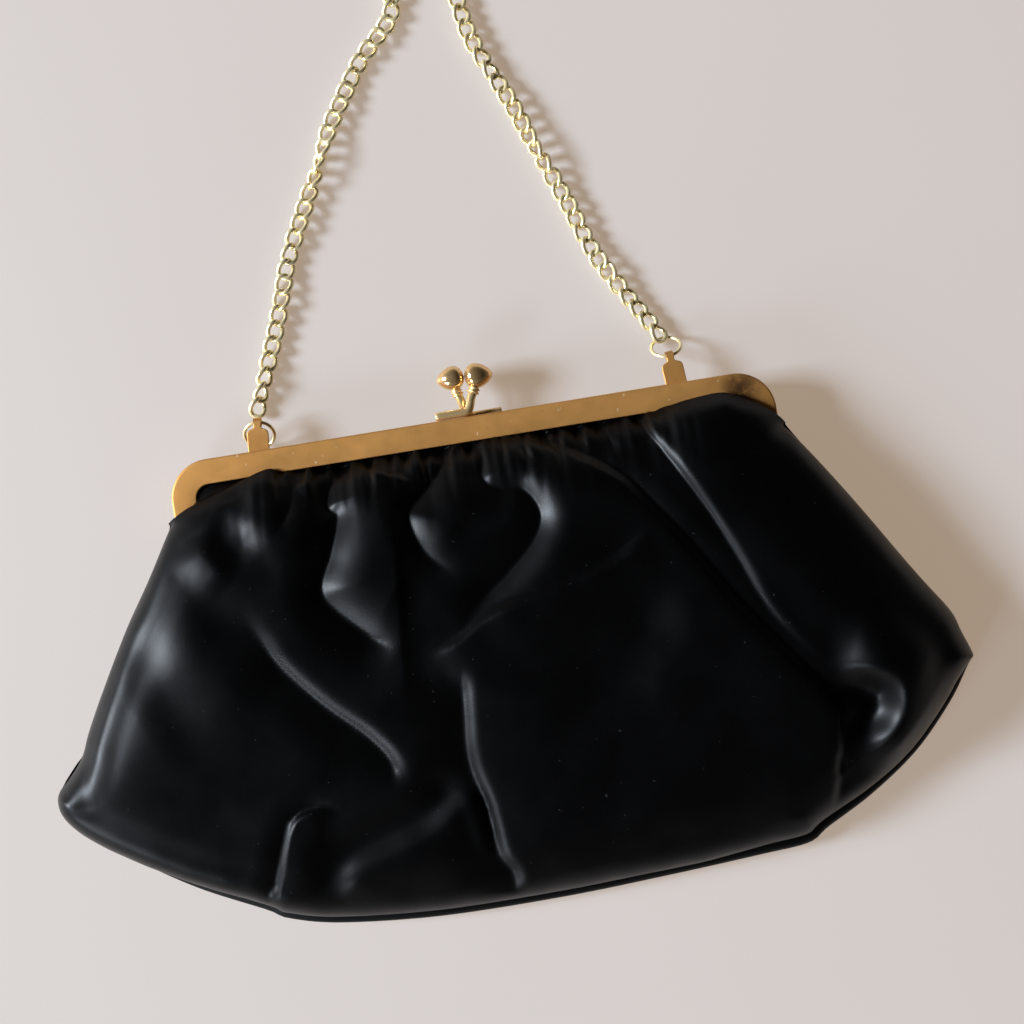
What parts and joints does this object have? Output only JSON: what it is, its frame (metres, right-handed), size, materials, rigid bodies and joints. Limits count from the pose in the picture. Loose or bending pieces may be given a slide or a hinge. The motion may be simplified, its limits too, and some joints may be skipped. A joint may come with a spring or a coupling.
{
  "type": "clutch purse",
  "caption": "Gathered satin clutch purse on a hinged two-part metal frame with a kiss clasp of two knobs, pivoting lugs and a curb-chain handle, lying closed on its back.",
  "frame": {"origin": "on the resting surface under the centre of the closed purse, lying on its back, measured without its chain", "axes": "+X along the frame's length, +Y from the bag's bottom seam to the clasp, +Z out of the front of the bag"},
  "size_m": [0.3104, 0.3356, 0.034],
  "materials": {
    "frame_gold": "satin-brushed, lightly tarnished gold plating",
    "bright_gold": "polished gold plating",
    "pale_gold": "polished pale gold plating",
    "satin": "soft satin weave with a broad sheen",
    "lining": "plain taffeta lining",
    "paper_cord": "twisted kraft paper"
  },
  "bodies": {
    "back": {"back_frame": "frame_gold", "hinge_rivet_left": "bright_gold", "hinge_rivet_right": "bright_gold", "clasp_arm_back": "bright_gold", "clasp_collar_back": "bright_gold", "clasp_knob_back": "bright_gold", "clasp_rivet_back_1": "bright_gold", "clasp_rivet_back_2": "bright_gold", "lug_rivet_left": "frame_gold", "lug_rivet_right": "frame_gold", "packing_cord_back": "paper_cord", "back_panel": "satin", "back_lining": "lining", "front_panel_lower": "satin", "front_lining_lower": "lining", "seam_edge": "satin", "slip_pocket": "lining", "chain": "pale_gold"},
    "front": {"front_frame": "frame_gold", "clasp_arm_front": "bright_gold", "clasp_collar_front": "bright_gold", "clasp_knob_front": "bright_gold", "clasp_rivet_front_1": "bright_gold", "clasp_rivet_front_2": "bright_gold", "front_panel_upper": "satin", "front_lining_upper": "lining", "packing_cord_front": "paper_cord"},
    "lug_left": {"lug_left": "frame_gold", "ring_left": "pale_gold"},
    "lug_right": {"lug_right": "frame_gold", "ring_right": "pale_gold"}
  },
  "joints": [
    {"name": "frame_hinge", "type": "hinge", "parent": "back", "child": "front", "pos_m": [0, 0.033, 0.01], "axis": [1, 0, 0], "range_deg": [0, 60]},
    {"name": "lug_left_pivot", "type": "hinge", "parent": "back", "child": "lug_left", "pos_m": [-0.0712, 0.0682, 0.01], "axis": [0, 0, 1], "range_deg": [-12, 22]},
    {"name": "lug_right_pivot", "type": "hinge", "parent": "back", "child": "lug_right", "pos_m": [0.0708, 0.0682, 0.01], "axis": [0, 0, 1], "range_deg": [-21, 12]}
  ]
}
